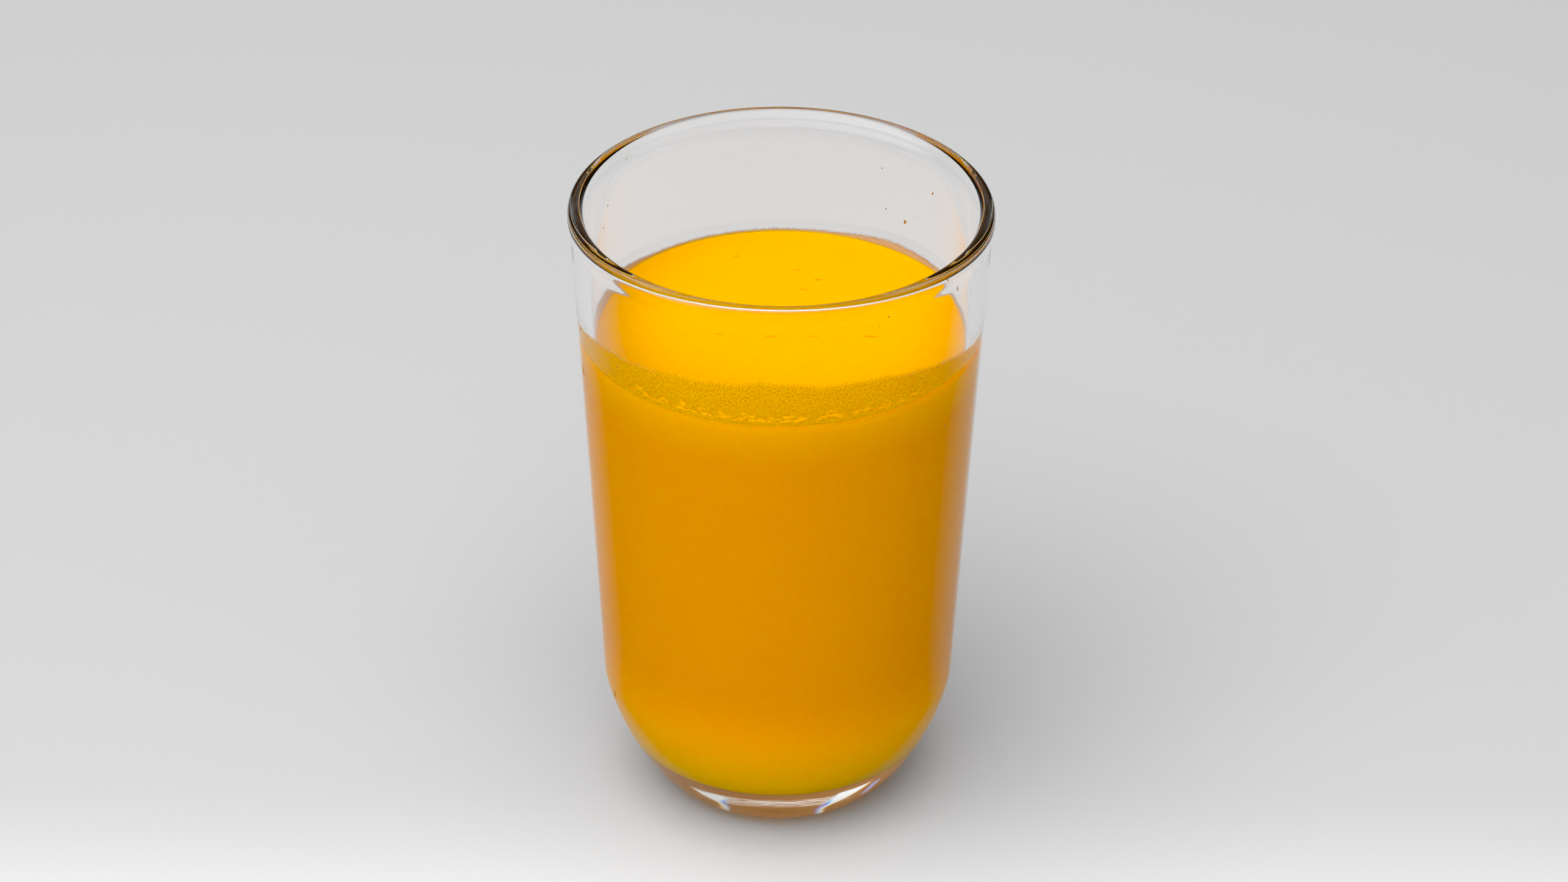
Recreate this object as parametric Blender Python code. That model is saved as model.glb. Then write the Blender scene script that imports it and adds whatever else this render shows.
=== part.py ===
"""A straight-sided glass tumbler with a rounded, heavy bottom, filled with mango lassi.

Units are metres and +Z is up. The origin is the middle of the foot, on the surface that the
glass stands on. Both pieces are turned bodies about Z: each outline is worked out in the
radius-height plane from the sizes below, and then spun round.
"""

import math

import bmesh
import bpy

# Outer form of the tumbler.
HEIGHT = 0.1214
RIM_RADIUS = 0.0380
SHOULDER_HEIGHT = 0.0244
SHOULDER_RADIUS = 0.03283
FOOT_RADIUS = 0.0191
FOOT_CURVE_POWER = 1.53

# Wall and fire-polished rim.
WALL = 0.0026
BEAD_PROUD = 0.0004
BEAD_THICKNESS = 0.0028
BEAD_HEIGHT = 0.0013
BEAD_BLEND = 0.0030

# Heavy base: the inner bottom and the shallow hollow under the foot.
BASE_THICKNESS = 0.0092
INNER_SHOULDER_HEIGHT = 0.0280
INNER_FLAT_RADIUS = 0.0090
INNER_CURVE_POWER = 1.80
FOOT_ROUNDING = 0.0005
FOOT_RING_WIDTH = 0.0024
HOLLOW_DEPTH = 0.0012

# The drink.
LEVEL = 0.0964
MENISCUS_RISE = 0.0008
MENISCUS_WIDTH = 0.0030
MENISCUS_POWER = 2.5
CLEARANCE = 0.0003

# Faceting of the turned bodies.
TURN_STEPS = 72
CURVE_STEPS = 11
SHORT_STEPS = 5
MERGE_DISTANCE = 1e-7
SHARP_ANGLE = math.radians(40.0)

# Finishes: colour with alpha, and roughness.
GLASS_COLOUR = (0.86, 0.90, 0.89, 0.35)
GLASS_ROUGHNESS = 0.02
LASSI_COLOUR = (0.86, 0.42, 0.0, 1.0)
LASSI_ROUGHNESS = 0.25


def outer_radius(z):
    """Radius of the straight outer wall at height z; it widens evenly up to the bead."""
    top_radius = RIM_RADIUS - BEAD_PROUD
    rise = HEIGHT - BEAD_HEIGHT - SHOULDER_HEIGHT
    slope = (top_radius - SHOULDER_RADIUS) / rise
    return SHOULDER_RADIUS + slope * (z - SHOULDER_HEIGHT)


def inner_radius(z):
    """Radius of the straight inner wall at height z, one wall thickness further in."""
    return outer_radius(z) - WALL


def rounded_bottom(low, high, end_radius, wall_radius, power, steps):
    """Points of the curve that leads from a flat bottom out and up into a straight wall.

    It is a quarter of a superellipse between end_radius at height low and the wall at height
    high, leaned with the wall's own slope so that it joins the wall without a kink. The points
    run upwards and leave out the last one, which the wall begins with.
    """
    lean = (wall_radius(high) - wall_radius(low)) / (high - low)
    foot = end_radius + lean * (high - low)
    points = []
    for step in range(steps):
        angle = 0.5 * math.pi * (1.0 - step / steps)
        across = max(math.cos(angle), 0.0) ** (2.0 / power)
        down = math.sin(angle) ** (2.0 / power)
        z = high - (high - low) * down
        radius = foot + (wall_radius(high) - foot) * across + lean * (z - high)
        points.append((radius, z))
    return points


def rim_points():
    """Rounded lip, from the inner wall over the top to the outer wall."""
    middle = RIM_RADIUS - 0.5 * BEAD_THICKNESS
    bead_z = HEIGHT - BEAD_HEIGHT
    blend_z = bead_z - BEAD_BLEND
    points = [(inner_radius(blend_z), blend_z)]
    for step in range(2 * SHORT_STEPS + 1):
        angle = math.pi * (1.0 - step / (2 * SHORT_STEPS))
        radius = middle + 0.5 * BEAD_THICKNESS * math.cos(angle)
        points.append((radius, bead_z + BEAD_HEIGHT * math.sin(angle)))
    points.append((outer_radius(blend_z), blend_z))
    return points


def foot_points():
    """Rounded edge of the foot, the flat ring that it stands on and the hollow inside it."""
    ring_outer = FOOT_RADIUS - FOOT_ROUNDING
    ring_inner = ring_outer - FOOT_RING_WIDTH
    points = [(ring_outer, 0.0), (ring_inner, 0.0)]
    for step in range(1, SHORT_STEPS):
        share = step / SHORT_STEPS
        radius = ring_inner * (1.0 - share)
        points.append((radius, HOLLOW_DEPTH * math.sin(0.5 * math.pi * share)))
    points.append((0.0, HOLLOW_DEPTH))
    return points


def tumbler_outline():
    """Closed half section: inner bottom, inner wall, rim, outer wall, rounded bottom, foot."""
    inside = rounded_bottom(
        BASE_THICKNESS, INNER_SHOULDER_HEIGHT, INNER_FLAT_RADIUS, inner_radius, INNER_CURVE_POWER, CURVE_STEPS
    )
    outside = rounded_bottom(
        FOOT_ROUNDING, SHOULDER_HEIGHT, FOOT_RADIUS, outer_radius, FOOT_CURVE_POWER, CURVE_STEPS
    )
    points = [(0.0, BASE_THICKNESS)]
    points += inside
    points.append((inner_radius(INNER_SHOULDER_HEIGHT), INNER_SHOULDER_HEIGHT))
    points += rim_points()
    points.append((outer_radius(SHOULDER_HEIGHT), SHOULDER_HEIGHT))
    points += reversed(outside)
    points += foot_points()
    return points


def meniscus_points(edge_radius):
    """Surface of the drink from the wall inwards: it climbs the glass along its last stretch."""
    points = []
    for step in range(SHORT_STEPS + 1):
        share = step / SHORT_STEPS
        radius = edge_radius - MENISCUS_WIDTH * share
        points.append((radius, LEVEL + MENISCUS_RISE * (1.0 - share) ** MENISCUS_POWER))
    points.append((0.0, LEVEL))
    return points


def lassi_outline():
    """Closed half section of the drink, clear of the glass all round; its top runs last."""
    wall_bottom = INNER_SHOULDER_HEIGHT
    bottom = rounded_bottom(
        BASE_THICKNESS + CLEARANCE,
        wall_bottom,
        INNER_FLAT_RADIUS,
        lambda z: inner_radius(z) - CLEARANCE,
        INNER_CURVE_POWER,
        CURVE_STEPS,
    )
    edge_radius = inner_radius(LEVEL) - CLEARANCE
    points = [(0.0, BASE_THICKNESS + CLEARANCE)]
    points += bottom
    points.append((inner_radius(wall_bottom) - CLEARANCE, wall_bottom))
    points += meniscus_points(edge_radius)
    return points


def turned_body(name, outline, material):
    """Spins a half section round Z into one closed body with its faces pointing out."""
    mesh = bpy.data.meshes.new(name)
    shape = bmesh.new()
    verts = [shape.verts.new((radius, 0.0, z)) for radius, z in outline]
    edges = [shape.edges.new(pair) for pair in zip(verts, verts[1:])]
    bmesh.ops.spin(
        shape,
        geom=verts + edges,
        cent=(0.0, 0.0, 0.0),
        axis=(0.0, 0.0, 1.0),
        angle=2.0 * math.pi,
        steps=TURN_STEPS,
        use_merge=True,
    )
    bmesh.ops.remove_doubles(shape, verts=shape.verts, dist=MERGE_DISTANCE)
    bmesh.ops.recalc_face_normals(shape, faces=shape.faces)
    shape.to_mesh(mesh)
    shape.free()
    mesh.shade_smooth()
    mesh.set_sharp_from_angle(angle=SHARP_ANGLE)
    mesh.materials.append(material)
    body = bpy.data.objects.new(name, mesh)
    bpy.context.collection.objects.link(body)
    return body


def plain_material(name, colour, roughness, transmission=0.0):
    """Principled surface of one colour."""
    material = bpy.data.materials.new(name)
    material.use_nodes = True
    surface = material.node_tree.nodes["Principled BSDF"]
    surface.inputs["Base Color"].default_value = colour
    surface.inputs["Alpha"].default_value = colour[3]
    surface.inputs["Roughness"].default_value = roughness
    surface.inputs["Metallic"].default_value = 0.0
    surface.inputs["Transmission Weight"].default_value = transmission
    return material


def main():
    for old in list(bpy.data.objects):
        bpy.data.objects.remove(old, do_unlink=True)
    clear_glass = plain_material("clear_glass", GLASS_COLOUR, GLASS_ROUGHNESS, transmission=1.0)
    mango_drink = plain_material("mango_drink", LASSI_COLOUR, LASSI_ROUGHNESS)
    turned_body("tumbler", tumbler_outline(), clear_glass)
    turned_body("lassi", lassi_outline(), mango_drink)


main()
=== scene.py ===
"""Looks of a clear glass tumbler that holds mango lassi.

Every turned piece is a grid: one direction runs along a half section in the radius-height plane,
the other goes round Z. Lengths are in metres and +Z is up. The tumbler stands on its foot at the
origin, and the camera looks along +Y and down.
"""

import math

import bpy
import numpy as np
from mathutils import Matrix, Vector


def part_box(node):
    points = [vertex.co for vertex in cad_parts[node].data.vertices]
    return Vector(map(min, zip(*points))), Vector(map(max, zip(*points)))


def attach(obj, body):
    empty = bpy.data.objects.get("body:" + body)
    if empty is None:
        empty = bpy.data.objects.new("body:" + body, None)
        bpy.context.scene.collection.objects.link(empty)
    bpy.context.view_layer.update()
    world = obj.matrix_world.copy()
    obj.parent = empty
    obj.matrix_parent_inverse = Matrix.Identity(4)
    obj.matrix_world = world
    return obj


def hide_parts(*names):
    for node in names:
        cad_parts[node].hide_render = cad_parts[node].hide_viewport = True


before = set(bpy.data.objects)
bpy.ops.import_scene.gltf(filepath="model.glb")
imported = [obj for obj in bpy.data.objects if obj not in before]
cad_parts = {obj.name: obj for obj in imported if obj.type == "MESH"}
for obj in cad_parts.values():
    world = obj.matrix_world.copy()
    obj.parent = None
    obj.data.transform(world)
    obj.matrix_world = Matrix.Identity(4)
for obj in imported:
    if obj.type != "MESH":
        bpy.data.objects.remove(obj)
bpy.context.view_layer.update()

# ---------------------------------------------------------------------------
# Driving dimensions, read from the frame where it has them
# ---------------------------------------------------------------------------

tumbler_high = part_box("tumbler")[1]
lassi_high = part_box("lassi")[1]

HEIGHT = tumbler_high[2]
RIM_RADIUS = tumbler_high[0]

# Outer form of the tumbler.
SHOULDER_HEIGHT = 0.0244
SHOULDER_RADIUS = 0.03283
FOOT_RADIUS = 0.0191
FOOT_CURVE_POWER = 1.53
FOOT_ROUNDING = 0.0005
FOOT_RING_WIDTH = 0.0024
HOLLOW_DEPTH = 0.0012

# Wall and fire-polished rim: a bead over a very faint neck, with a power for each of its sides.
WALL = 0.00274
BEAD_PROUD = 0.000327
BEAD_THICKNESS = 0.00297
BEAD_HEIGHT = 0.001756
BEAD_MIDDLE = -0.000413
OUTER_BLEND = 0.0030
INNER_BLEND = 0.003797
OUTER_POWER = 2.6
INNER_POWER = 1.597
NECK_DEPTH = 0.00003
NECK_HEIGHT = 0.115148
NECK_SPREAD = 0.001

# Heavy base.
BASE_THICKNESS = 0.0092
INNER_SHOULDER_HEIGHT = 0.0280
INNER_FLAT_RADIUS = 0.0090
INNER_CURVE_POWER = 1.80

# The drink.
MENISCUS_RISE = 0.0008
MENISCUS_WIDTH = 0.0030
MENISCUS_POWER = 2.5
LEVEL = lassi_high[2] - MENISCUS_RISE
SURFACE_SLOPE = 0.0085
SLOPE_DEPTH = 0.004
INTO_WALL = 0.00012

UP = np.array([0.0, 0.0, 1.0])

# Grid sizes: round Z, along each part of the half sections, and of a small blob.
TURN_STEPS = 288
CURVE_STEPS = 48
RIM_BLEND_STEPS = 14
LIP_STEPS = 56
FOOT_EDGE_STEPS = 8
FOOT_RING_STEPS = 8
HOLLOW_STEPS = 24
MIDDLE_STEPS = 8
INNER_WALL_STEPS = 40
OUTER_WALL_STEPS = 70
MENISCUS_STEPS = 24
SIDE_STEPS = 30
TOP_STEPS = 60
BLOB_STEPS = 10
BLOB_RINGS = 5


# ---------------------------------------------------------------------------
# Half sections
# ---------------------------------------------------------------------------

def wall_line(z):
    """Straight outer wall: the radius grows evenly with height from shoulder to bead."""
    top_radius = RIM_RADIUS - BEAD_PROUD
    rise = HEIGHT - BEAD_HEIGHT - SHOULDER_HEIGHT
    return SHOULDER_RADIUS + (top_radius - SHOULDER_RADIUS) / rise * (z - SHOULDER_HEIGHT)


def outer_radius(z):
    """Outer wall: the straight line less a bell-shaped neck under the bead."""
    return wall_line(z) - NECK_DEPTH * np.exp(-(((z - NECK_HEIGHT) / NECK_SPREAD) ** 2))


def inner_radius(z):
    """Straight inner wall: one wall thickness inside the line of the outer wall."""
    return wall_line(z) - WALL


def rounded_bottom(low, high, end_radius, wall_radius, power):
    """Quarter superellipse from a flat bottom up into a wall, leaned with the wall's slope.

    across**power + down**power = 1, with the radius going from end_radius at height low to the
    wall at height high. Returns an array of (radius, z), rising, with both ends.
    """
    lean = (wall_radius(high) - wall_radius(low)) / (high - low)
    foot = end_radius + lean * (high - low)
    angle = np.linspace(0.5 * np.pi, 0.0, CURVE_STEPS)
    across = np.clip(np.cos(angle), 0.0, 1.0) ** (2.0 / power)
    down = np.clip(np.sin(angle), 0.0, 1.0) ** (2.0 / power)
    z = high - (high - low) * down
    radius = foot + (wall_radius(high) - foot) * across + lean * (z - high)
    return np.stack([radius, z], axis=1)


def surface_height(x):
    """Height of the drink's top, which stands very slightly higher on the right."""
    return LEVEL + SURFACE_SLOPE * x


def line(start, end, steps):
    """Evenly spaced points from start to end, without the first."""
    share = np.linspace(0.0, 1.0, steps + 1)[1:, None]
    return np.asarray(start) * (1.0 - share) + np.asarray(end) * share


def smooth_step(share):
    """Cubic that goes from 0 to 1 with level ends."""
    return share * share * (3.0 - 2.0 * share)


def rim_section():
    """Lip from the inner wall over the top to the outer wall.

    Each side leaves its wall by a smooth step. Over them lies half a superellipse, with a width
    and a power of its own on either side of the crest.
    """
    bead_z = HEIGHT - BEAD_HEIGHT
    inner_edge = RIM_RADIUS - BEAD_THICKNESS
    crest = RIM_RADIUS - 0.5 * BEAD_THICKNESS + BEAD_MIDDLE
    share = smooth_step(np.linspace(0.0, 1.0, RIM_BLEND_STEPS))
    up_z = bead_z - INNER_BLEND * np.linspace(1.0, 0.0, RIM_BLEND_STEPS)
    down_z = bead_z - OUTER_BLEND * np.linspace(1.0, 0.0, RIM_BLEND_STEPS)
    up = np.stack([inner_radius(up_z) * (1 - share) + inner_edge * share, up_z], 1)
    down = np.stack([outer_radius(down_z) * (1 - share) + RIM_RADIUS * share, down_z], 1)[::-1]
    angle = np.linspace(np.pi, 0.0, LIP_STEPS)[1:-1]
    side = np.cos(angle)
    width = np.where(side < 0.0, crest - inner_edge, RIM_RADIUS - crest)
    power = np.where(side < 0.0, INNER_POWER, OUTER_POWER)
    across = np.sign(side) * np.abs(side) ** (2.0 / power)
    lift = np.sin(angle) ** (2.0 / power)
    lip = np.stack([crest + width * across, bead_z + BEAD_HEIGHT * lift], 1)
    return np.concatenate([up, lip, down])


def foot_section():
    """Rounded foot edge, flat ring and shallow domed hollow, in to the axis."""
    ring_outer = FOOT_RADIUS - FOOT_ROUNDING
    ring_inner = ring_outer - FOOT_RING_WIDTH
    angle = np.linspace(0.0, 0.5 * np.pi, FOOT_EDGE_STEPS)[1:]
    edge_radius = ring_outer + FOOT_ROUNDING * np.cos(angle)
    edge = np.stack([edge_radius, FOOT_ROUNDING * (1 - np.sin(angle))], 1)
    ring = line((ring_outer, 0.0), (ring_inner, 0.0), FOOT_RING_STEPS)
    share = np.linspace(0.0, 1.0, HOLLOW_STEPS)[1:]
    hollow = np.stack([ring_inner * (1 - share), HOLLOW_DEPTH * np.sin(0.5 * np.pi * share)], 1)
    return np.concatenate([edge, ring, hollow])


def inner_bottom(low, wall_radius):
    """Rounded inner bottom from height low up into a wall."""
    return rounded_bottom(
        low, INNER_SHOULDER_HEIGHT, INNER_FLAT_RADIUS, wall_radius, INNER_CURVE_POWER
    )


def tumbler_section():
    """Whole half section of the glass, from the middle of the inner bottom to that of the foot."""
    inside = inner_bottom(BASE_THICKNESS, inner_radius)
    outside = rounded_bottom(
        FOOT_ROUNDING, SHOULDER_HEIGHT, FOOT_RADIUS, outer_radius, FOOT_CURVE_POWER
    )
    rim = rim_section()
    axis = np.array([[0.0, BASE_THICKNESS]])
    middle = line(axis[0], inside[0], MIDDLE_STEPS)[:-1]
    inner_wall = line(inside[-1], rim[0], INNER_WALL_STEPS)[:-1]
    height = np.linspace(rim[-1, 1], SHOULDER_HEIGHT, OUTER_WALL_STEPS)[1:-1]
    outer_wall = np.stack([outer_radius(height), height], 1)
    outside = outside[::-1]
    foot = foot_section()
    return np.concatenate([axis, middle, inside, inner_wall, rim, outer_wall, outside, foot])


def wetted_radius(z):
    """Edge of the drink: a little inside the glass's wall, so that no air shows between them."""
    return inner_radius(z) + INTO_WALL


def lassi_section():
    """Half section of the drink, from the middle of its top round to the middle of its bottom."""
    low = BASE_THICKNESS - INTO_WALL
    axis = np.array([[0.0, low]])
    bottom = inner_bottom(low, wetted_radius)
    middle = line(axis[0], bottom[0], MIDDLE_STEPS)[:-1]
    share = np.linspace(0.0, 1.0, MENISCUS_STEPS)
    radius = wetted_radius(LEVEL) - MENISCUS_WIDTH * share
    meniscus = np.stack([radius, LEVEL + MENISCUS_RISE * (1 - share) ** MENISCUS_POWER], 1)
    side = line(bottom[-1], meniscus[0], SIDE_STEPS)[:-1]
    top = line(meniscus[-1], (0.0, LEVEL), TOP_STEPS)
    return np.concatenate([axis, middle, bottom, side, meniscus, top])[::-1]


# ---------------------------------------------------------------------------
# Meshes
# ---------------------------------------------------------------------------

def turned_points(section):
    """Carries a half section round Z: x = r cos t, y = r sin t. Shape (rings, turn steps, 3)."""
    turn = np.linspace(0.0, 2.0 * np.pi, TURN_STEPS, endpoint=False)
    radius = section[:, 0, None]
    z = section[:, 1, None]
    return np.stack([radius * np.cos(turn), radius * np.sin(turn), z + 0.0 * turn], axis=2)


def grid_faces(rings, steps):
    """Quads of a grid that is closed along its second direction."""
    ring, step = np.meshgrid(np.arange(rings - 1), np.arange(steps), indexing="ij")
    after = (step + 1) % steps
    corners = ((ring, step), (ring + 1, step), (ring + 1, after), (ring, after))
    return np.stack([row * steps + place for row, place in corners], 2).reshape(-1, 4)


def end_fans(rings, steps):
    """Triangles from the first and the last ring of a grid to the two end points that follow it."""
    around = np.arange(steps)
    after = (around + 1) % steps
    last = (rings - 1) * steps
    first_fan = np.stack([np.full(steps, rings * steps), around, after], 1)
    last_fan = np.stack([np.full(steps, rings * steps + 1), last + after, last + around], 1)
    return np.concatenate([first_fan, last_fan])


def tilted_top(points):
    """Raises points by the slope of the drink's top, in full over the level and not below it."""
    share = np.clip((points[..., 2] - (LEVEL - SLOPE_DEPTH)) / SLOPE_DEPTH, 0.0, 1.0)
    moved = points.copy()
    moved[..., 2] += SURFACE_SLOPE * points[..., 0] * smooth_step(share)
    return moved


def mesh_object(name, points, quads, triangles=None):
    """Makes an object at the origin from arrays of points, quads and triangles."""
    mesh = bpy.data.meshes.new(name)
    loops = [quads.reshape(-1)]
    totals = [np.full(len(quads), 4)]
    if triangles is not None:
        loops.append(triangles.reshape(-1))
        totals.append(np.full(len(triangles), 3))
    loops = np.concatenate(loops)
    totals = np.concatenate(totals)
    mesh.vertices.add(len(points))
    mesh.vertices.foreach_set("co", points.astype(np.float32).ravel())
    mesh.loops.add(len(loops))
    mesh.loops.foreach_set("vertex_index", loops.astype(np.int32))
    mesh.polygons.add(len(totals))
    starts = np.concatenate([[0], np.cumsum(totals)[:-1]])
    mesh.polygons.foreach_set("loop_start", starts.astype(np.int32))
    mesh.polygons.foreach_set("loop_total", totals.astype(np.int32))
    mesh.update(calc_edges=True)
    mesh.validate()
    mesh.shade_smooth()
    piece = bpy.data.objects.new(name, mesh)
    bpy.context.collection.objects.link(piece)
    return piece


def turned_object(name, section, shape=None):
    """Closed turned body. The section starts and ends on the axis; shape may move its points."""
    points = turned_points(section[1:-1])
    if shape is not None:
        points = shape(points)
    ends = np.array([[0.0, 0.0, section[0, 1]], [0.0, 0.0, section[-1, 1]]])
    flat = np.concatenate([points.reshape(-1, 3), ends])
    quads = grid_faces(len(points), TURN_STEPS)
    return mesh_object(name, flat, quads, end_fans(len(points), TURN_STEPS))


def ring_object(name, points, coordinates):
    """Closed ring from an array (loop, steps, 3) that is closed along both of its directions.

    coordinates (loop, steps, 2) becomes the UV map "wrap". Where the last step meets the first
    one, the first one's coordinate round the ring is taken one turn higher.
    """
    loops, steps = points.shape[:2]
    loop, step = np.meshgrid(np.arange(loops), np.arange(steps), indexing="ij")
    next_loop = (loop + 1) % loops
    next_step = (step + 1) % steps
    corners = ((loop, step), (loop, next_step), (next_loop, next_step), (next_loop, step))
    quads = np.stack([row * steps + place for row, place in corners], 2).reshape(-1, 4)
    piece = mesh_object(name, points.reshape(-1, 3), quads)
    flat = coordinates.reshape(-1, 2)[quads]
    past_seam = (step.reshape(-1, 1) == steps - 1) & (flat[..., 0] < 0.5)
    flat[..., 0] += np.where(past_seam, 1.0, 0.0)
    layer = piece.data.uv_layers.new(name="wrap")
    layer.data.foreach_set("uv", flat.astype(np.float32).ravel())
    return piece


def blob_points(centre, along, normal, length, width, thickness):
    """Ellipsoid as a grid: length runs along, thickness along the normal.

    centre + along cos(tilt) cos(turn) length / 2 + across cos(tilt) sin(turn) width / 2
    + normal sin(tilt) thickness / 2. Returns points, quads and triangles.
    """
    along = np.asarray(along, float) / np.linalg.norm(along)
    normal = np.asarray(normal, float) / np.linalg.norm(normal)
    across = np.cross(normal, along)
    turn = np.linspace(0.0, 2.0 * np.pi, BLOB_STEPS, endpoint=False)
    tilt = np.linspace(-0.5 * np.pi, 0.5 * np.pi, BLOB_RINGS + 2)[1:-1, None]
    rings = (
        np.cos(tilt)[..., None] * np.cos(turn)[None, :, None] * along * 0.5 * length
        + np.cos(tilt)[..., None] * np.sin(turn)[None, :, None] * across * 0.5 * width
        + (np.sin(tilt) + 0.0 * turn)[..., None] * normal * 0.5 * thickness
    )
    ends = np.stack([-normal * 0.5 * thickness, normal * 0.5 * thickness])
    points = np.concatenate([rings.reshape(-1, 3), ends]) + np.asarray(centre, float)
    quads = grid_faces(BLOB_RINGS, BLOB_STEPS)
    return points, quads[:, ::-1], end_fans(BLOB_RINGS, BLOB_STEPS)[:, ::-1]


def blobs_object(name, blobs):
    """One mesh of many ellipsoids, each given by the arguments of blob_points."""
    points, quads, fans, first = [], [], [], 0
    for blob in blobs:
        some_points, some_quads, some_fans = blob_points(*blob)
        points.append(some_points)
        quads.append(some_quads + first)
        fans.append(some_fans + first)
        first += len(some_points)
    return mesh_object(name, np.concatenate(points), np.concatenate(quads), np.concatenate(fans))


# ---------------------------------------------------------------------------
# Film, pulp and specks
# ---------------------------------------------------------------------------

FILM_STEPS = 720
FILM_ROWS = 30
FILM_BACK_HEIGHT = 0.0014
FILM_FRONT_HEIGHT = 0.0080
FILM_BUMP = (0.0010, math.radians(48.0), math.radians(20.0))
FILM_POWER = (2.2, 0.8)
FILM_START = -0.0004
FILM_OUT = 0.00015
FILM_IN = 0.00022
FILM_LIP = 0.00002
FILM_TAPER_POWER = 4
FILM_FADE = (0.0013, 0.0024)

# Waves of the ragged edge: size, count in one turn and phase.
RAGGED_WAVES = ((0.5, 7, 1.0), (0.5, 12, 2.0), (0.3, 29, 0.0))
RAGGED_SHARE = 0.05
FINE_WAVES = ((0.35, 67, 0.7), (0.3, 113, 2.2), (0.2, 181, 0.0))
FINE_HEIGHT = 0.00010


def waves(turn, parts):
    """Sum of sines, each with a size, a count in one turn and a phase."""
    return sum(size * np.sin(count * turn + phase) for size, count, phase in parts)


def front_share(turn):
    """One in front, at -Y, and zero at the back: (1 - sin t) / 2."""
    return 0.5 * (1.0 - np.sin(turn))


def film_height(turn):
    """Height of the film's edge over the level, for a turn about Z that starts at +X.

    It is tallest in front and falls off as a power of the share in front, which is steeper on
    the right. A bump lies at the back on the right, and sines of mixed counts make it ragged.
    """
    power = FILM_POWER[0] + FILM_POWER[1] * np.cos(turn)
    edge = FILM_BACK_HEIGHT + FILM_FRONT_HEIGHT * front_share(turn) ** power
    size, place, spread = FILM_BUMP
    edge = edge + size * np.exp(-(((turn - place) / spread) ** 2))
    ragged = 1.0 + RAGGED_SHARE * waves(turn, RAGGED_WAVES)
    return edge * ragged + FINE_HEIGHT * waves(turn, FINE_WAVES)


def film_ring():
    """Thin film that clings to the inner wall over the level: a closed loop carried round Z.

    The loop climbs from just under the level to half a fade past the ragged edge, a little way
    into the glass, and comes down again on the wall with a thickness that tapers to the edge.
    """
    turn = np.linspace(0.0, 2.0 * np.pi, FILM_STEPS, endpoint=False)
    share = np.linspace(0.0, 1.0, FILM_ROWS)[:, None]
    level = surface_height(RIM_RADIUS * np.cos(turn))[None, :]
    low = level + FILM_START
    fade = FILM_FADE[0] + (FILM_FADE[1] - FILM_FADE[0]) * front_share(turn)[None, :]
    edge = film_height(turn)[None, :]
    top = level + edge + 0.5 * fade
    z = low + (top - low) * share
    outside = inner_radius(z) + FILM_OUT
    inside = inner_radius(z) - FILM_IN * (1.0 - share ** FILM_TAPER_POWER) - FILM_LIP
    radius = np.concatenate([outside, inside[::-1]])
    height = np.concatenate([z, z[::-1]])
    points = np.stack([radius * np.cos(turn), radius * np.sin(turn), height], 2)
    over = (height - level - edge) / fade
    wrap = np.stack([turn / (2.0 * np.pi) + 0.0 * height, over], 2)
    return ring_object("mango_film", points, wrap)


PULP_THICKNESS = 0.00008
SPECK_THICKNESS = 0.00012
SPECK_LEAN = 0.35

# Pulp on the drink's top: x, y, length, width in metres and the way it points in degrees.
PULP = (
    (0.0069, 0.0164, 0.0016, 0.0006, 10.0),
    (0.0043, 0.0128, 0.0018, 0.0005, -15.0),
    (0.0162, -0.0032, 0.0027, 0.0007, -12.0),
    (-0.0017, -0.0020, 0.0026, 0.0006, 6.0),
    (-0.0110, -0.0015, 0.0021, 0.0005, 0.0),
    (0.0060, -0.0022, 0.0020, 0.0004, 4.0),
    (-0.0082, 0.0251, 0.0013, 0.0005, 30.0),
    (0.0108, 0.0065, 0.0014, 0.0004, -20.0),
    (0.0030, 0.0200, 0.0015, 0.0004, 15.0),
)

# Specks on the glass: turn about Z in degrees, height, length, width, and 1 outside or 0 inside.
SPECKS = (
    (48.1, 0.1037, 0.0009, 0.0006, 0),
    (37.1, 0.1122, 0.0007, 0.0004, 0),
    (55.6, 0.1049, 0.0004, 0.0003, 0),
    (57.8, 0.1128, 0.0003, 0.0003, 0),
    (155.3, 0.1127, 0.0004, 0.0003, 0),
    (159.2, 0.1093, 0.0004, 0.0003, 0),
    (144.0, 0.1190, 0.0004, 0.0002, 0),
    (-35.2, 0.1168, 0.0014, 0.0003, 1),
    (-60.4, 0.1175, 0.0004, 0.0003, 1),
    (-63.0, 0.1160, 0.0003, 0.0002, 1),
    (-110.0, 0.0984, 0.0004, 0.0003, 1),
    (-17.5, 0.0975, 0.0004, 0.0004, 1),
    (-166.0, 0.1005, 0.0009, 0.0002, 1),
    (-166.5, 0.0920, 0.0026, 0.0002, 1),
    (-49.0, 0.0900, 0.0003, 0.0003, 1),
    (-36.0, 0.0885, 0.0004, 0.0003, 1),
    (-30.0, 0.0830, 0.0003, 0.0002, 1),
    (-158.0, 0.0235, 0.0022, 0.0004, 1),
)


def pulp_blobs():
    """Flat ellipsoids lying half sunk in the drink's top."""
    blobs = []
    for x, y, length, width, way in PULP:
        along = (math.cos(math.radians(way)), math.sin(math.radians(way)), 0.0)
        blobs.append(((x, y, surface_height(x)), along, UP, length, width, PULP_THICKNESS))
    return blobs


def speck_blobs():
    """Flat ellipsoids on the glass, longer up the wall than round it, and all leaning one way."""
    blobs = []
    for degrees, z, length, width, outside in SPECKS:
        turn = math.radians(degrees)
        outward = np.array([math.cos(turn), math.sin(turn), 0.0])
        radius = outer_radius(z) if outside else inner_radius(z)
        along = UP + SPECK_LEAN * np.cross(outward, UP)
        blobs.append((outward * radius + z * UP, along, outward, length, width, SPECK_THICKNESS))
    return blobs


# ---------------------------------------------------------------------------
# Materials
# ---------------------------------------------------------------------------

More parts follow.
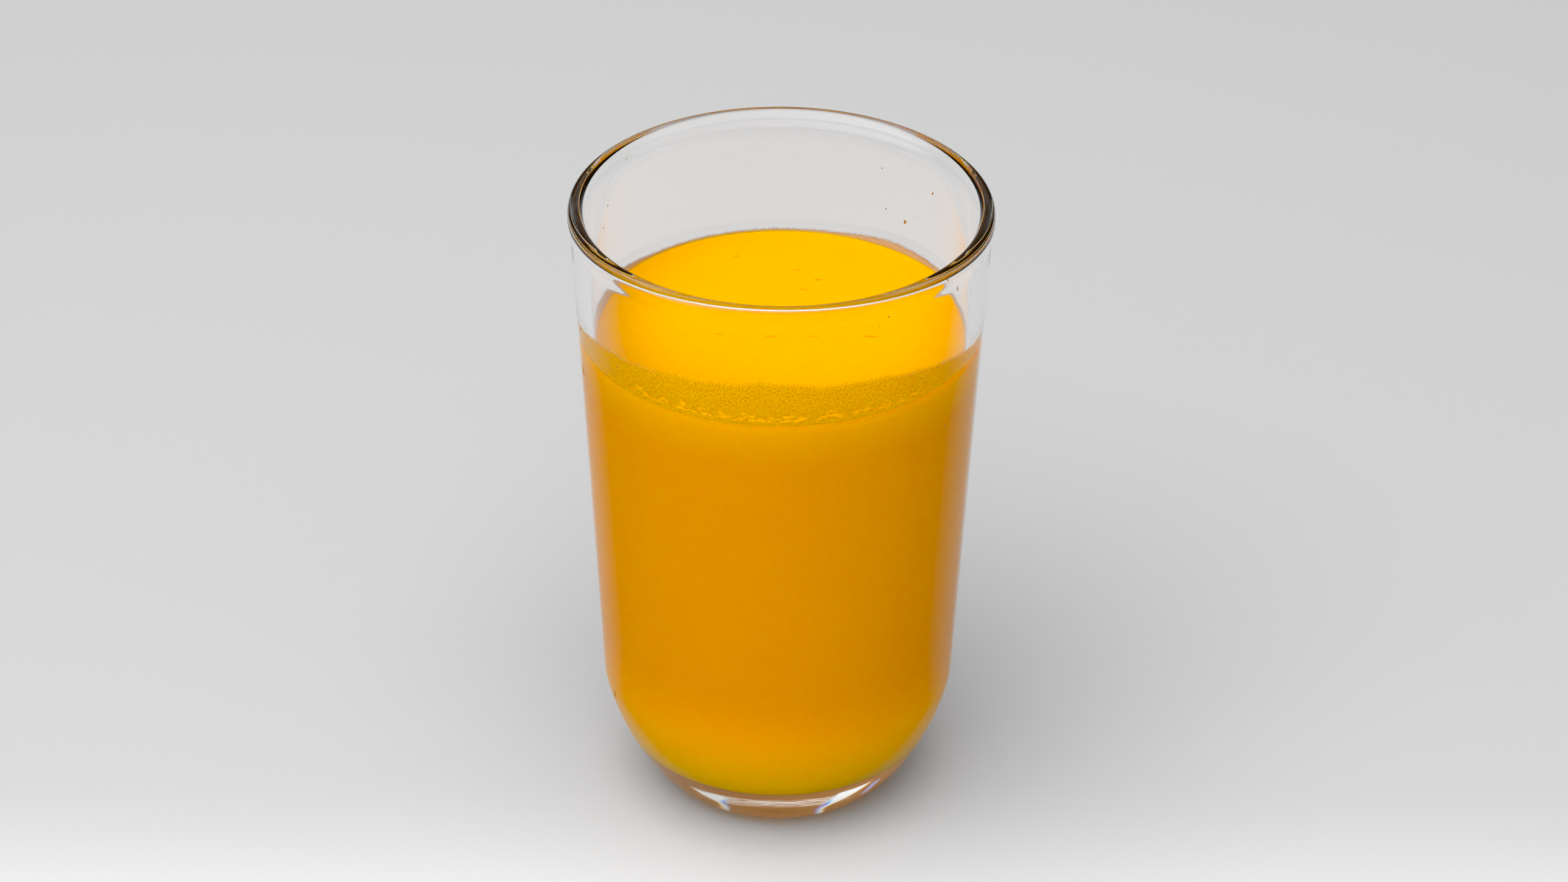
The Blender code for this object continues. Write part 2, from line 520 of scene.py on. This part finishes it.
WHITE = (1.0, 1.0, 1.0, 1.0)
GLASS_IOR = 1.5
DRINK_IOR = 1.35

# The drink: its free surface, and where it wets the glass from the base up to the level. Ranges
# named EDGE are heights or places along Y in metres, over which one look turns into the next.
LASSI_COLOUR = (0.64, 0.303, 0.0, 1.0)
LASSI_ROUGHNESS = 0.30
LASSI_SCATTER = (1.0, 0.6, 0.2)
LASSI_SCATTER_DEPTH = 0.003
WETTING_COLOUR = (0.73, 0.323, 0.0, 1.0)
# Painted light: lighter and yellower just under the level, for light that scatters in from the top.
UPPER_PAINTED_LIGHT_COLOUR = (0.80, 0.418, 0.0, 1.0)
UPPER_EDGE = (0.0860, 0.0975)
# Painted light: brighter in the rounded bottom, making up for the little light that reaches it.
LOW_PAINTED_LIGHT_COLOUR = (1.0, 0.475, 0.0, 1.0)
LOW_EDGE = (0.0115, 0.038)
# Painted shade: dark brown just over the inner bottom, where the drink meets the base.
DEEP_PAINTED_SHADE_COLOUR = (0.34, 0.16, 0.04, 1.0)
DEEP_EDGE = (0.0088, 0.0108)
MIRROR_EDGE = (0.0220, 0.0280)

# Its look for rays that the wall guides down from the rim, in colours that are painted light for
# what those rays bring in; FACING ranges are those of a Layer Weight node.
GUIDED_PAINTED_LIGHT_COLOUR = (0.76, 0.63, 0.50, 1.0)
GUIDED_BACK_PAINTED_LIGHT_COLOUR = (0.96, 0.98, 1.0, 1.0)
GUIDED_BACK_EDGE = (-0.012, 0.012)
GUIDED_FACING = (0.283, 0.345)
GUIDED_EDGE = (0.040, 0.060)
FACING_BLEND = 0.5

# The film: colours of its body and grain, how much it covers in front and at the back, and how
# far its grain breaks up the edge there.
FILM_COLOUR = (0.99, 0.575, 0.0, 1.0)
FILM_GRAIN_COLOUR = (0.60, 0.335, 0.0, 1.0)
FILM_GRAIN = (0.56, 0.40)
FILM_GRAIN_SCALE = (800.0, 2400.0)
FILM_GRAIN_NOISE = (1.0, 3.0, 0.7)
# Painted light: colour of the film for rays guided along the wall, for the light those rays bring.
FILM_GUIDED_PAINTED_LIGHT_COLOUR = (0.66, 0.45, 0.20, 1.0)
FILM_GUIDED_FACING = (0.33, 0.42)
FILM_ROUGHNESS = 0.5
FILM_GLOSS = 0.1
FILM_SCATTER_DEPTH = 0.0006
FILM_COVER = 0.60
FOAM_COVER = 0.80
FOAM_EDGE = (-0.012, 0.004)
FILM_SPREAD = (1.5, 0.7)
FILM_THINNING = (0.30, -1.0)
FILM_SOLID = (0.15, 0.85)
FILM_FOOT = (0.0001, 0.0008)
FOAM_COLOUR = (0.50, 0.37, 0.27, 1.0)
FOAM_FOOT_COLOUR = (0.74, 0.42, 0.07, 1.0)
FOAM_FOOT_EDGE = (0.0001, 0.0009)

# Slanting strokes low on the film, in front only, under a crest of uneven height. Their bright
# colour is painted light, standing in for the lit drink seen through gaps in the film.
STROKE_PAINTED_LIGHT_COLOUR = (1.0, 0.47, 0.0, 1.0)
STROKE_SLANT = 4.0
STROKE_SCALE = (130.0, 1900.0)
STROKE_NOISE = (1.0, 2.0, 0.6)
STROKE_RANGE = (0.42, 0.53)
STROKE_FOOT = (0.0007, 0.0012)
STROKE_HEAD = (0.0005, -0.0005)
STROKE_FRONT_EDGE = (-0.018, -0.026)
CREST_SCALE = 60.0
CREST_NOISE = (1.0, 1.0, 0.5)
CREST_RANGE = (0.30, 0.70)
CREST_HEIGHT = (0.0010, 0.0036)

PULP_COLOUR = (0.80, 0.21, 0.0, 1.0)
PULP_ROUGHNESS = 0.35
SPECK_COLOURS = ((0.16, 0.09, 0.04, 1.0), (0.36, 0.22, 0.10, 1.0))
SPECK_NOISE = (900.0, 2.0, 0.5)
SPECK_ROUGHNESS = 0.7
FLOOR_COLOUR = (0.360, 0.361, 0.365, 1.0)
# Painted light: the floor is paler in front, a painted pool of light before the glass.
FLOOR_FRONT_PAINTED_LIGHT_COLOUR = (0.53, 0.533, 0.537, 1.0)
FLOOR_FRONT_EDGE = (-0.080, -0.005)
FLOOR_ROUGHNESS = 0.6

# Principled sockets that the materials below set, by the words used for them.
SOCKETS = {
    "base_colour": "Base Color",
    "roughness": "Roughness",
    "gloss": "Specular IOR Level",
    "ior": "IOR",
    "transmission": "Transmission Weight",
    "subsurface": "Subsurface Weight",
    "scatter": "Subsurface Radius",
    "scatter_depth": "Subsurface Scale",
}


def surface_material(name, **values):
    """New material with values set on its Principled node: (material, node tree, that node)."""
    material = bpy.data.materials.new(name)
    material.use_nodes = True
    tree = material.node_tree
    surface = tree.nodes["Principled BSDF"]
    for word, value in values.items():
        surface.inputs[SOCKETS[word]].default_value = value
    return material, tree, surface


def axes(tree, kind):
    """Coordinates of a kind, such as Object, as three sockets for X, Y and Z."""
    place = tree.nodes.new("ShaderNodeTexCoord")
    parts = tree.nodes.new("ShaderNodeSeparateXYZ")
    tree.links.new(place.outputs[kind], parts.inputs["Vector"])
    return parts.outputs["X"], parts.outputs["Y"], parts.outputs["Z"]


def map_range(tree, source, low, high, start=0.0, end=1.0):
    """Smooth step of a value from start at low to end at high; gives the output socket."""
    node = tree.nodes.new("ShaderNodeMapRange")
    node.interpolation_type = "SMOOTHSTEP"
    tree.links.new(source, node.inputs["Value"])
    node.inputs["From Min"].default_value = low
    node.inputs["From Max"].default_value = high
    node.inputs["To Min"].default_value = start
    node.inputs["To Max"].default_value = end
    return node.outputs["Result"]


def noise(tree, place, scale, detail, roughness):
    """Fractal noise about one half at a place socket; gives the output socket."""
    node = tree.nodes.new("ShaderNodeTexNoise")
    tree.links.new(place, node.inputs["Vector"])
    node.inputs["Scale"].default_value = scale
    node.inputs["Detail"].default_value = detail
    node.inputs["Roughness"].default_value = roughness
    return node.outputs["Fac"]


def math_node(tree, kind, first, second=None):
    """Math node on one or two sockets or numbers; gives the output socket."""
    node = tree.nodes.new("ShaderNodeMath")
    node.operation = kind
    for socket, value in zip(node.inputs, (first, second)):
        if value is None:
            continue
        if isinstance(value, (int, float)):
            socket.default_value = value
        else:
            tree.links.new(value, socket)
    return node.outputs["Value"]


def product(tree, factors):
    """Product of sockets or numbers; gives the output socket."""
    result = factors[0]
    for factor in factors[1:]:
        result = math_node(tree, "MULTIPLY", result, factor)
    return result


def scaled_place(tree, first, second, first_scale, second_scale):
    """Vector of two sockets, each times its own number; gives the output socket."""
    node = tree.nodes.new("ShaderNodeCombineXYZ")
    tree.links.new(math_node(tree, "MULTIPLY", first, first_scale), node.inputs["X"])
    tree.links.new(math_node(tree, "MULTIPLY", second, second_scale), node.inputs["Y"])
    return node.outputs["Vector"]


def tint(tree, share, first, second):
    """Mix of two colours or colour sockets by a share; gives the output socket."""
    mix = tree.nodes.new("ShaderNodeMix")
    mix.data_type = "RGBA"
    for name, value in (("A", first), ("B", second)):
        if isinstance(value, tuple):
            mix.inputs[name].default_value = value
        else:
            tree.links.new(value, mix.inputs[name])
    tree.links.new(share, mix.inputs["Factor"])
    return mix.outputs["Result"]


def glass_material():
    """Clear polished glass."""
    return surface_material(
        "clear_glass", base_colour=WHITE, roughness=0.0, ior=GLASS_IOR, transmission=1.0
    )[0]


def slanting_share(tree, facing_range):
    """Zero for rays that meet the wall fairly square on, one for rays guided along the wall."""
    facing = tree.nodes.new("ShaderNodeLayerWeight")
    facing.inputs["Blend"].default_value = FACING_BLEND
    return map_range(tree, facing.outputs["Facing"], *facing_range)


def lassi_open_material():
    """Free surface of the drink: thick and cloudy, with a soft wet shine."""
    return surface_material(
        "mango_lassi_surface",
        base_colour=LASSI_COLOUR,
        subsurface=1.0,
        scatter=LASSI_SCATTER,
        scatter_depth=LASSI_SCATTER_DEPTH,
        roughness=LASSI_ROUGHNESS,
        ior=DRINK_IOR,
    )[0]


def wetting_colour(tree):
    """Colour of the drink against the glass, by height and by how a ray meets the wall.

    From the base up it is dim brown just over the inner bottom, as painted shade, bright in the
    rounded bottom as painted light, plain along the wall and yellower near the level as painted
    light. Rays guided by the wall see painted light: tan in front, where their light is white,
    and a paler colour at the back, where their light is brown.
    """
    _, depth, height = axes(tree, "Object")
    # Painted light low down and near the level, painted shade at the very bottom.
    low = tint(tree, map_range(tree, height, *LOW_EDGE), LOW_PAINTED_LIGHT_COLOUR, WETTING_COLOUR)
    body = tint(tree, map_range(tree, height, *DEEP_EDGE), DEEP_PAINTED_SHADE_COLOUR, low)
    body = tint(tree, map_range(tree, height, *UPPER_EDGE), body, UPPER_PAINTED_LIGHT_COLOUR)
    # Painted light for rays guided along the wall: tan in front, paler at the back.
    back = map_range(tree, depth, *GUIDED_BACK_EDGE)
    guided = tint(tree, back, GUIDED_PAINTED_LIGHT_COLOUR, GUIDED_BACK_PAINTED_LIGHT_COLOUR)
    share = product(
        tree, [slanting_share(tree, GUIDED_FACING), map_range(tree, height, *GUIDED_EDGE)]
    )
    return tint(tree, share, body, guided)


def lassi_wetting_material():
    """Drink where it wets the glass. Its index is the lower one, so rays inside the glass that
    graze it are mirrored on, and steeper ones see the drink without any shine."""
    material, tree, surface = surface_material(
        "mango_lassi_in_glass",
        subsurface=1.0,
        scatter=LASSI_SCATTER,
        scatter_depth=LASSI_SCATTER_DEPTH,
        roughness=1.0,
        gloss=0.0,
    )
    tree.links.new(wetting_colour(tree), surface.inputs["Base Color"])
    mirror = tree.nodes.new("ShaderNodeBsdfAnisotropic")
    mirror.inputs["Color"].default_value = WHITE
    mirror.inputs["Roughness"].default_value = 0.0
    grazing = tree.nodes.new("ShaderNodeFresnel")
    grazing.inputs["IOR"].default_value = DRINK_IOR / GLASS_IOR
    on_wall = map_range(tree, axes(tree, "Object")[2], *MIRROR_EDGE)
    mix = tree.nodes.new("ShaderNodeMixShader")
    output = tree.nodes["Material Output"]
    tree.links.new(product(tree, [grazing.outputs["Fac"], on_wall]), mix.inputs["Fac"])
    tree.links.new(surface.outputs["BSDF"], mix.inputs[1])
    tree.links.new(mirror.outputs["BSDF"], mix.inputs[2])
    tree.links.new(mix.outputs["Shader"], output.inputs["Surface"])
    return material


def stroke_share(tree, around, above, depth):
    """One on the bright strokes: thin slanting noise between a foot and an uneven crest."""
    slanted = math_node(tree, "ADD", around, math_node(tree, "MULTIPLY", above, STROKE_SLANT))
    wiggle = noise(tree, scaled_place(tree, slanted, above, *STROKE_SCALE), *STROKE_NOISE)
    crest = noise(tree, scaled_place(tree, around, around, CREST_SCALE, 0.0), *CREST_NOISE)
    crest_height = map_range(tree, crest, *CREST_RANGE, *CREST_HEIGHT)
    past_crest = math_node(tree, "SUBTRACT", above, crest_height)
    return product(tree, [
        map_range(tree, wiggle, *STROKE_RANGE),
        map_range(tree, above, *STROKE_FOOT),
        map_range(tree, past_crest, *STROKE_HEAD),
        map_range(tree, depth, *STROKE_FRONT_EDGE),
    ])


def film_material():
    """Thin grainy film: solid low down and broken up towards its edge, with bright strokes low in
    front. At the back it turns to the tan of drying foam.

    On the UV map the first coordinate runs once round the wall, and the second is the distance
    over the ragged edge in units of the fade's width.
    """
    material, tree, surface = surface_material(
        "mango_film",
        roughness=FILM_ROUGHNESS,
        gloss=FILM_GLOSS,
        scatter=LASSI_SCATTER,
        scatter_depth=FILM_SCATTER_DEPTH,
    )
    wrap = tree.nodes.new("ShaderNodeUVMap")
    wrap.uv_map = "wrap"
    wrap_parts = tree.nodes.new("ShaderNodeSeparateXYZ")
    tree.links.new(wrap.outputs["UV"], wrap_parts.inputs["Vector"])
    around, over = wrap_parts.outputs["X"], wrap_parts.outputs["Y"]
    aside, depth, height = axes(tree, "Object")
    slope = math_node(tree, "MULTIPLY", aside, SURFACE_SLOPE)
    above = math_node(tree, "SUBTRACT", math_node(tree, "SUBTRACT", height, LEVEL), slope)

    grain = noise(tree, scaled_place(tree, around, above, *FILM_GRAIN_SCALE), *FILM_GRAIN_NOISE)
    spread = product(tree, [
        math_node(tree, "SUBTRACT", grain, 0.5),
        map_range(tree, depth, *FOAM_EDGE, *FILM_SPREAD),
    ])
    thinning = map_range(tree, over, *FILM_THINNING)
    solid = map_range(tree, math_node(tree, "ADD", thinning, spread), *FILM_SOLID)
    back = map_range(tree, depth, *FOAM_EDGE)
    cover = tree.nodes.new("ShaderNodeMapRange")
    tree.links.new(back, cover.inputs["Value"])
    cover.inputs["To Min"].default_value = FILM_COVER
    cover.inputs["To Max"].default_value = FOAM_COVER
    strokes = stroke_share(tree, around, above, depth)
    layer = product(tree, [solid, cover.outputs["Result"]])
    layer = math_node(tree, "MAXIMUM", layer, strokes)
    rising = map_range(tree, above, *FILM_FOOT)
    tree.links.new(product(tree, [layer, rising]), surface.inputs["Alpha"])
    tree.links.new(
        math_node(tree, "SUBTRACT", 1.0, strokes), surface.inputs["Subsurface Weight"]
    )

    grains = map_range(tree, grain, *FILM_GRAIN)
    colour = tint(tree, grains, FILM_COLOUR, FILM_GRAIN_COLOUR)
    # Painted light: the strokes take a bright colour for the lit drink seen through gaps in the
    # film.
    colour = tint(tree, strokes, colour, STROKE_PAINTED_LIGHT_COLOUR)
    foam_foot = map_range(tree, above, *FOAM_FOOT_EDGE)
    foam = tint(tree, foam_foot, FOAM_FOOT_COLOUR, FOAM_COLOUR)
    colour = tint(tree, back, colour, foam)
    # Painted light for rays guided along the wall, in front only.
    ahead = math_node(tree, "SUBTRACT", 1.0, back)
    guided = product(tree, [slanting_share(tree, FILM_GUIDED_FACING), ahead])
    tree.links.new(tint(tree, guided, colour, FILM_GUIDED_PAINTED_LIGHT_COLOUR), surface.inputs["Base Color"])
    return material


def pulp_material():
    """Darker orange threads of fruit."""
    return surface_material("mango_pulp", base_colour=PULP_COLOUR, roughness=PULP_ROUGHNESS)[0]


def speck_material():
    """Dried brown specks, a little uneven in colour."""
    material, tree, surface = surface_material("brown_speck", roughness=SPECK_ROUGHNESS)
    place = tree.nodes.new("ShaderNodeTexCoord")
    spots = noise(tree, place.outputs["Object"], *SPECK_NOISE)
    tree.links.new(tint(tree, spots, *SPECK_COLOURS), surface.inputs["Base Color"])
    return material


def floor_material():
    """Plain pale matt floor, a little paler in front."""
    material, tree, surface = surface_material("pale_floor", roughness=FLOOR_ROUGHNESS)
    # Painted light: paler towards the front.
    front = map_range(tree, axes(tree, "Object")[1], *FLOOR_FRONT_EDGE, 1.0, 0.0)
    colour = tint(tree, front, FLOOR_COLOUR, FLOOR_FRONT_PAINTED_LIGHT_COLOUR)
    tree.links.new(colour, surface.inputs["Base Color"])
    return material


# ---------------------------------------------------------------------------
# Stage
# ---------------------------------------------------------------------------

CAMERA_BACK = 0.6763
CAMERA_UP = 0.4951
CAMERA_PITCH = 0.5593
CAMERA_PAN = -0.0012
CAMERA_ROLL = 0.0086
LENS_MM = 100.0
SENSOR_MM = 36.0
FLOOR_HALF = 3.0

SOFTBOX_PLACE = (-0.12, -0.25, 0.90)
SOFTBOX_TARGET = (0.0, 0.0, 0.05)
SOFTBOX_SIDE = 0.8
SOFTBOX_WATTS = 9.0

# How pure a colour is shown for how pure it is: near-greys stay grey and strong colours are full.
PURITY_CURVE = (
    (0.00, 0.0),
    (0.12, 0.03),
    (0.20, 0.06),
    (0.28, 0.13),
    (0.36, 0.28),
    (0.43, 0.48),
    (0.55, 0.70),
    (0.74, 0.875),
    (0.84, 1.0),
)

# The room's light, by direction: ranges along the axes of the unit sphere.
CEILING_EDGE = (0.66, 0.82)
CEILING_SHARE = 0.80
FRONT_EDGE = (-0.40, 0.16)
SIDE_EDGE = (-0.9, 0.9)
LEFT_RIGHT = (2.30, 1.16)
LOW_FRONT = (1.30, 1.30, 1.30, 1.0)
LOW_FRONT_EDGE = (0.08, 0.40)
DARK_ROOM = (0.045, 0.034, 0.025, 1.0)

# Things behind the glass, in radians of turn from straight back and in height on the unit sphere.
BACK_WALL_TINT = (0.175, 0.082, 0.028, 1.0)
BACK_WALL_TURN = (0.90, 1.30)
BACK_WALL_FOOT = (0.17, 0.26)
BACK_WALL_HEAD = (0.66, 0.74)
SILL_TINT = (0.52, 0.44, 0.37, 1.0)
SILL_TURN = (0.35, 0.60)
SILL_FOOT = (0.31, 0.37)
SILL_HEAD = (0.46, 0.56)
STREAK_SCALE = (7.0, 55.0)
STREAK_NOISE = (1.0, 3.0, 0.6)
STREAK_RANGE = (0.36, 0.62)
STREAK_SHARE = (0.1, 1.0)
# Each window: side, inner turn, how the inner turn grows with height, foot, and its slant edge,
# which is a turn plus a share of the height.
WINDOWS = (
    (1.0, 0.215, 0.25, (0.350, 0.390), (0.810, 0.890)),
    (-1.0, 0.450, -0.27, (0.285, 0.325), (0.790, 0.870)),
)
WINDOW_SLANT = 0.85
WINDOW_HEAD = (0.590, 0.622)
WINDOW_COOL = (0.085, 0.100)
WINDOW_HEAD_SHARE = 0.5
WINDOW_INNER_EDGE = (-0.4, 0.2)
WINDOW_WHITE = 0.5
WINDOW_SPECTRUM = (
    (0.00, (0.22, 0.12, 0.42, 0.7)),
    (0.12, (0.17, 0.19, 0.60, 1.0)),
    (0.24, (0.20, 0.42, 0.66, 1.0)),
    (0.36, (0.42, 0.57, 0.62, 1.0)),
    (0.48, (0.56, 0.58, 0.57, 1.0)),
    (0.64, (0.60, 0.58, 0.51, 1.0)),
    (0.82, (0.58, 0.43, 0.20, 1.0)),
    (1.00, (0.28, 0.14, 0.05, 0.0)),
)
PANE_TINT = (0.22, 0.20, 0.42, 1.0)
PANE_TURN = (-0.70, -0.66, -0.63, -0.59)
PANE_HEIGHT = (0.33, 0.38, 0.50, 0.55)


def add_camera():
    """Camera in front of the glass, looking down on it, with a slight roll."""
    right = Vector((math.cos(CAMERA_PAN), math.sin(CAMERA_PAN), 0.0))
    level = Vector((-math.sin(CAMERA_PAN), math.cos(CAMERA_PAN), 0.0))
    ahead = level * math.cos(CAMERA_PITCH) - Vector((0.0, 0.0, math.sin(CAMERA_PITCH)))
    up = right.cross(ahead)
    rolled_right = right * math.cos(CAMERA_ROLL) + up * math.sin(CAMERA_ROLL)
    rolled_up = up * math.cos(CAMERA_ROLL) - right * math.sin(CAMERA_ROLL)
    data = bpy.data.cameras.new("camera")
    data.lens = LENS_MM
    data.sensor_width = SENSOR_MM
    camera = bpy.data.objects.new("camera", data)
    pose = Matrix((rolled_right, rolled_up, -ahead)).transposed().to_4x4()
    pose.translation = Vector((0.0, -CAMERA_BACK, CAMERA_UP))
    camera.matrix_world = pose
    bpy.context.collection.objects.link(camera)
    bpy.context.scene.camera = camera


def add_floor():
    """Large square at the height of the foot."""
    corners = FLOOR_HALF * np.array([[-1, -1, 0], [1, -1, 0], [1, 1, 0], [-1, 1, 0]], float)
    floor = mesh_object("floor", corners, np.array([[0, 1, 2, 3]]))
    floor.data.materials.append(floor_material())


def add_softbox():
    """Square area light high up at the front left, unseen in reflections."""
    data = bpy.data.lights.new("upper_softbox", "AREA")
    data.shape = "RECTANGLE"
    data.size = SOFTBOX_SIDE
    data.size_y = SOFTBOX_SIDE
    data.energy = SOFTBOX_WATTS
    lamp = bpy.data.objects.new("upper_softbox", data)
    lamp.location = SOFTBOX_PLACE
    beam = Vector(SOFTBOX_TARGET) - Vector(SOFTBOX_PLACE)
    lamp.rotation_euler = beam.to_track_quat("-Z", "Y").to_euler()
    lamp.visible_glossy = False
    bpy.context.collection.objects.link(lamp)


def world_tint(tree, under, over, masks):
    """Lays one colour over another where the product of the masks is one; gives the socket."""
    return tint(tree, product(tree, masks), under, over)


def set_stops(ramp, stops):
    """Gives a colour ramp, which starts with two stops, all of its stops."""
    elements = ramp.elements
    for element, stop in ((elements[0], stops[0]), (elements[1], stops[-1])):
        element.position, element.color = stop
    for position, colour in stops[1:-1]:
        elements.new(position).color = colour


def world_window(tree, under, turn, height, side, inner, growth, foot, slant):
    """Lays one window over what is there, with the colours that the thick base splits it into.

    It runs from a steep inner edge, violet at its head, to a slanted outer edge that ends yellow.
    """
    away = math_node(tree, "MULTIPLY", turn, side)
    inner_edge = math_node(tree, "ADD", math_node(tree, "MULTIPLY", height, growth), inner)
    past_inner = math_node(tree, "SUBTRACT", away, inner_edge)
    from_inner = math_node(tree, "DIVIDE", past_inner, WINDOW_COOL[0])
    under_head = math_node(tree, "SUBTRACT", WINDOW_HEAD[1], height)
    from_head = math_node(tree, "DIVIDE", under_head, WINDOW_COOL[1])
    inside = math_node(tree, "MAXIMUM", from_inner, 0.0)
    far = math_node(tree, "MAXIMUM", math_node(tree, "SUBTRACT", from_head, 1.0), 0.0)
    far_part = math_node(tree, "MULTIPLY", far, WINDOW_HEAD_SHARE)
    cool = math_node(tree, "MINIMUM", math_node(tree, "ADD", inside, far_part), 1.0)
    slanted = math_node(tree, "ADD", away, math_node(tree, "MULTIPLY", height, WINDOW_SLANT))
    cool_part = math_node(tree, "MULTIPLY", cool, WINDOW_WHITE)
    warm_part = math_node(tree, "MULTIPLY", map_range(tree, slanted, *slant), 1.0 - WINDOW_WHITE)
    glow = tree.nodes.new("ShaderNodeValToRGB")
    set_stops(glow.color_ramp, WINDOW_SPECTRUM)
    tree.links.new(math_node(tree, "ADD", cool_part, warm_part), glow.inputs["Fac"])
    return world_tint(tree, under, glow.outputs["Color"], [
        glow.outputs["Alpha"],
        map_range(tree, from_inner, *WINDOW_INNER_EDGE),
        map_range(tree, height, *foot),
        map_range(tree, height, *WINDOW_HEAD, 1.0, 0.0),
    ])


def add_world():
    """Soft room light that depends on direction alone.

    The ceiling and the front are bright, the left more than the right, and the low front most.
    Behind and at the sides it is dark, with a brown back wall, pale streaks over a sill, two
    coloured windows and a small violet pane, which the rim and the thick base pick up.
    """
    world = bpy.data.worlds.new("studio")
    world.use_nodes = True
    tree = world.node_tree
    background = tree.nodes["Background"]
    aside, depth, height = axes(tree, "Generated")

    ceiling = map_range(tree, height, *CEILING_EDGE, 0.0, CEILING_SHARE)
    front = map_range(tree, depth, *FRONT_EDGE, 1.0, 0.0)
    turn = math_node(tree, "ARCTAN2", aside, depth)
    away = math_node(tree, "ABSOLUTE", turn)
    room = world_tint(tree, DARK_ROOM, BACK_WALL_TINT, [
        map_range(tree, away, *BACK_WALL_TURN, 1.0, 0.0),
        map_range(tree, height, *BACK_WALL_FOOT),
        map_range(tree, height, *BACK_WALL_HEAD, 1.0, 0.0),
    ])
    streaks = noise(tree, scaled_place(tree, turn, height, *STREAK_SCALE), *STREAK_NOISE)
    room = world_tint(tree, room, SILL_TINT, [
        map_range(tree, streaks, *STREAK_RANGE, *STREAK_SHARE),
        map_range(tree, away, *SILL_TURN, 1.0, 0.0),
        map_range(tree, height, *SILL_FOOT),
        map_range(tree, height, *SILL_HEAD, 1.0, 0.0),
    ])
    for window in WINDOWS:
        room = world_window(tree, room, turn, height, *window)
    room = world_tint(tree, room, PANE_TINT, [
        map_range(tree, turn, *PANE_TURN[:2]),
        map_range(tree, turn, *PANE_TURN[2:], 1.0, 0.0),
        map_range(tree, height, *PANE_HEIGHT[:2]),
        map_range(tree, height, *PANE_HEIGHT[2:], 1.0, 0.0),
    ])
    room = world_tint(tree, room, WHITE, [math_node(tree, "MAXIMUM", ceiling, front)])
    low = map_range(tree, height, *LOW_FRONT_EDGE, 1.0, 0.0)
    room = world_tint(tree, room, LOW_FRONT, [front, low])
    tree.links.new(room, background.inputs["Color"])
    side = map_range(tree, aside, *SIDE_EDGE, *LEFT_RIGHT)
    tree.links.new(side, background.inputs["Strength"])
    bpy.context.scene.world = world


def set_colour_handling():
    """Plain display transform, so that the strong yellow stays strong, and long light paths.

    The compositor shows each pixel with its purity, the green channel of the HSV split, taken
    through the purity curve.
    """
    scene = bpy.context.scene
    scene.view_settings.view_transform = "Standard"
    scene.cycles.max_bounces = 14
    scene.cycles.transmission_bounces = 12
    scene.cycles.glossy_bounces = 10
    scene.cycles.diffuse_bounces = 4
    scene.use_nodes = True
    tree = scene.node_tree
    tree.nodes.clear()
    layers = tree.nodes.new("CompositorNodeRLayers")
    split = tree.nodes.new("CompositorNodeSeparateColor")
    split.mode = "HSV"
    purity = tree.nodes.new("CompositorNodeValToRGB")
    stops = [(place, (value, value, value, 1.0)) for place, value in PURITY_CURVE]
    set_stops(purity.color_ramp, stops)
    join = tree.nodes.new("CompositorNodeCombineColor")
    join.mode = "HSV"
    output = tree.nodes.new("CompositorNodeComposite")
    tree.links.new(layers.outputs["Image"], split.inputs["Image"])
    tree.links.new(split.outputs["Green"], purity.inputs["Fac"])
    tree.links.new(split.outputs["Red"], join.inputs["Red"])
    tree.links.new(purity.outputs["Image"], join.inputs["Green"])
    tree.links.new(split.outputs["Blue"], join.inputs["Blue"])
    tree.links.new(join.outputs["Image"], output.inputs["Image"])


# ---------------------------------------------------------------------------
# Pieces
# ---------------------------------------------------------------------------

OPEN_DEPTH = 0.001
OPEN_LEAST_UP = 0.2


def face_values(mesh, name):
    """Vector of each face, such as center or normal, as an array (faces, 3)."""
    values = np.empty(3 * len(mesh.polygons))
    mesh.polygons.foreach_get(name, values)
    return values.reshape(-1, 3)


def lassi_object():
    """The drink, whose second material lies on the faces of its free surface."""
    lassi = turned_object("lassi_drink", lassi_section(), tilted_top)
    mesh = lassi.data
    mesh.materials.append(lassi_wetting_material())
    mesh.materials.append(lassi_open_material())
    near_top = face_values(mesh, "center")[:, 2] > LEVEL - OPEN_DEPTH
    is_open = near_top & (face_values(mesh, "normal")[:, 2] > OPEN_LEAST_UP)
    mesh.polygons.foreach_set("material_index", is_open.astype(np.int32))
    return lassi


def main():
    """Camera, floor and light first, then the pieces, all on the part's one body."""
    add_camera()
    add_floor()
    add_softbox()
    add_world()
    set_colour_handling()

    tumbler = turned_object("tumbler_glass", tumbler_section())
    tumbler.data.materials.append(glass_material())
    lassi = lassi_object()
    for piece, node, slot in ((tumbler, "tumbler", "clear_glass"), (lassi, "lassi", "mango_drink")):
        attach(piece, "root")
        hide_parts(node)

    film = film_ring()
    film.data.materials.append(film_material())
    pulp = blobs_object("mango_pulp", pulp_blobs())
    pulp.data.materials.append(pulp_material())
    specks = blobs_object("glass_specks", speck_blobs())
    specks.data.materials.append(speck_material())
    for piece in (film, pulp, specks):
        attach(piece, "root")


main()
